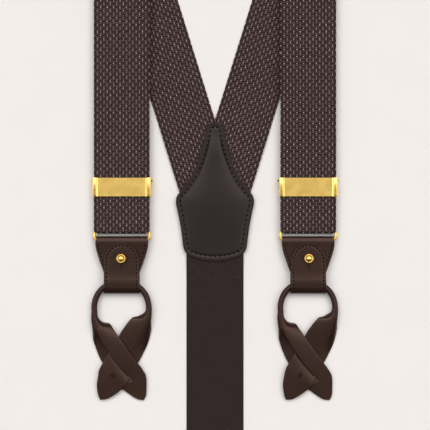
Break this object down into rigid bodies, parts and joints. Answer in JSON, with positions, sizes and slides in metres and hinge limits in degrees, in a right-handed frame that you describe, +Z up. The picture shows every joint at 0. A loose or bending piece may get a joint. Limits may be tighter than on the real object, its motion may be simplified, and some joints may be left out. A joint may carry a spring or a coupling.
{
  "type": "suspenders",
  "caption": "Button-on dress braces laid flat: woven straps joined at a leather back patch, adjusters, wire rings and flap-studded leather ends with crossed buttonhole ears.",
  "frame": {"origin": "middle of the laid-out braces, on the surface they lie on", "axes": "+Y towards the shoulder folds along the length, +X to the right as seen from above, +Z up from the surface through the thickness"},
  "size_m": [0.1578, 0.712, 0.0139],
  "materials": {
    "strap_fabric": "matte",
    "elastic_fabric": "matte",
    "patch_leather": "satin",
    "tab_leather": "satin",
    "lining_leather": "matte",
    "gold_metal": "polished",
    "thread": "matte",
    "core_cord": "matte"
  },
  "bodies": {
    "patch_and_straps": {"back_patch": "patch_leather", "back_patch_lining": "lining_leather", "back_patch_stitching": "thread", "back_elastic": "elastic_fabric", "left_strap": "strap_fabric", "right_strap": "strap_fabric"},
    "back_loop": {"back_elastic_loop": "elastic_fabric", "back_loop_stitching": "thread"},
    "left_running_loop": {"left_strap_loop": "strap_fabric"},
    "left_adjuster": {"left_adjuster_cover": "gold_metal", "left_adjuster_bar": "gold_metal"},
    "left_lever": {"left_adjuster_lever": "gold_metal"},
    "right_running_loop": {"right_strap_loop": "strap_fabric"},
    "right_adjuster": {"right_adjuster_cover": "gold_metal", "right_adjuster_bar": "gold_metal"},
    "right_lever": {"right_adjuster_lever": "gold_metal"},
    "left_ring": {"left_ring": "gold_metal"},
    "left_tab": {"left_yoke": "tab_leather", "left_yoke_stitching": "thread", "left_stud": "gold_metal", "left_stud_screw": "gold_metal", "left_flap_tail": "tab_leather"},
    "left_flap": {"left_flap": "tab_leather", "left_flap_lining": "lining_leather", "left_flap_stitching": "thread"},
    "left_ears": {"left_ears": "tab_leather", "left_ears_core": "core_cord"},
    "right_ring": {"right_ring": "gold_metal"},
    "right_tab": {"right_yoke": "tab_leather", "right_yoke_stitching": "thread", "right_stud": "gold_metal", "right_stud_screw": "gold_metal", "right_flap_tail": "tab_leather"},
    "right_flap": {"right_flap": "tab_leather", "right_flap_lining": "lining_leather", "right_flap_stitching": "thread"},
    "right_ears": {"right_ears": "tab_leather", "right_ears_core": "core_cord"},
    "back_ring": {"back_ring": "gold_metal"},
    "back_tab": {"back_yoke": "tab_leather", "back_yoke_stitching": "thread", "back_stud": "gold_metal", "back_stud_screw": "gold_metal", "back_flap_tail": "tab_leather"},
    "back_flap": {"back_flap": "tab_leather", "back_flap_lining": "lining_leather", "back_flap_stitching": "thread"},
    "back_ears": {"back_ears": "tab_leather", "back_ears_core": "core_cord"}
  },
  "joints": [
    {"name": "left_loop_slide", "type": "slide", "parent": "patch_and_straps", "child": "left_running_loop", "axis": [0, 1, 0], "range_m": [0, 0.1], "deforming": ["left_strap_loop", "left_strap"]},
    {"name": "left_adjuster_slide", "type": "slide", "parent": "left_running_loop", "child": "left_adjuster", "axis": [0, 1, 0], "range_m": [0, 0.1]},
    {"name": "left_lever_hinge", "type": "hinge", "parent": "left_adjuster", "child": "left_lever", "pos_m": [-0.0592, 0.0054, 0.0036], "axis": [-1, 0, 0], "range_deg": [-70, 0]},
    {"name": "right_loop_slide", "type": "slide", "parent": "patch_and_straps", "child": "right_running_loop", "axis": [0, 1, 0], "range_m": [0, 0.1], "deforming": ["right_strap_loop", "right_strap"]},
    {"name": "right_adjuster_slide", "type": "slide", "parent": "right_running_loop", "child": "right_adjuster", "axis": [0, 1, 0], "range_m": [0, 0.1]},
    {"name": "right_lever_hinge", "type": "hinge", "parent": "right_adjuster", "child": "right_lever", "pos_m": [0.0592, 0.0054, 0.0036], "axis": [-1, 0, 0], "range_deg": [-70, 0]},
    {"name": "back_stretch", "type": "slide", "parent": "patch_and_straps", "child": "back_loop", "axis": [0, -1, 0], "range_m": [0, 0.06], "stiffness_N_per_m": 200, "deforming": ["back_elastic"]},
    {"name": "left_ring_hinge", "type": "hinge", "parent": "left_running_loop", "child": "left_ring", "pos_m": [-0.0592, -0.0262, 0.0034], "axis": [-1, 0, 0], "range_deg": [-60, 60]},
    {"name": "left_tab_hinge", "type": "hinge", "parent": "left_ring", "child": "left_tab", "pos_m": [-0.0592, -0.03195, 0.0034], "axis": [-1, 0, 0], "range_deg": [-60, 60]},
    {"name": "left_flap_hinge", "type": "hinge", "parent": "left_tab", "child": "left_flap", "pos_m": [-0.0592, -0.0627, 0.00725], "axis": [1, 0, 0], "range_deg": [0, 120]},
    {"name": "left_ears_hinge", "type": "hinge", "parent": "left_tab", "child": "left_ears", "pos_m": [-0.0592, -0.0763, 0.00365], "axis": [0, 0, 1], "range_deg": [-15, 15]},
    {"name": "right_ring_hinge", "type": "hinge", "parent": "right_running_loop", "child": "right_ring", "pos_m": [0.0592, -0.0262, 0.0034], "axis": [-1, 0, 0], "range_deg": [-60, 60]},
    {"name": "right_tab_hinge", "type": "hinge", "parent": "right_ring", "child": "right_tab", "pos_m": [0.0592, -0.03195, 0.0034], "axis": [-1, 0, 0], "range_deg": [-60, 60]},
    {"name": "right_flap_hinge", "type": "hinge", "parent": "right_tab", "child": "right_flap", "pos_m": [0.0592, -0.0627, 0.00725], "axis": [1, 0, 0], "range_deg": [0, 120]},
    {"name": "right_ears_hinge", "type": "hinge", "parent": "right_tab", "child": "right_ears", "pos_m": [0.0592, -0.0763, 0.00365], "axis": [0, 0, 1], "range_deg": [-15, 15]},
    {"name": "back_ring_hinge", "type": "hinge", "parent": "back_loop", "child": "back_ring", "pos_m": [0, -0.24768, 0.0034], "axis": [-1, 0, 0], "range_deg": [-60, 60]},
    {"name": "back_tab_hinge", "type": "hinge", "parent": "back_ring", "child": "back_tab", "pos_m": [0, -0.25343, 0.0034], "axis": [-1, 0, 0], "range_deg": [-60, 60]},
    {"name": "back_flap_hinge", "type": "hinge", "parent": "back_tab", "child": "back_flap", "pos_m": [0, -0.28418, 0.00725], "axis": [1, 0, 0], "range_deg": [0, 120]},
    {"name": "back_ears_hinge", "type": "hinge", "parent": "back_tab", "child": "back_ears", "pos_m": [0, -0.29778, 0.00365], "axis": [0, 0, 1], "range_deg": [-15, 15]}
  ],
  "couplings": [
    {"joint": "left_adjuster_slide", "follows": "left_loop_slide", "ratio": 1},
    {"joint": "right_adjuster_slide", "follows": "right_loop_slide", "ratio": 1}
  ]
}
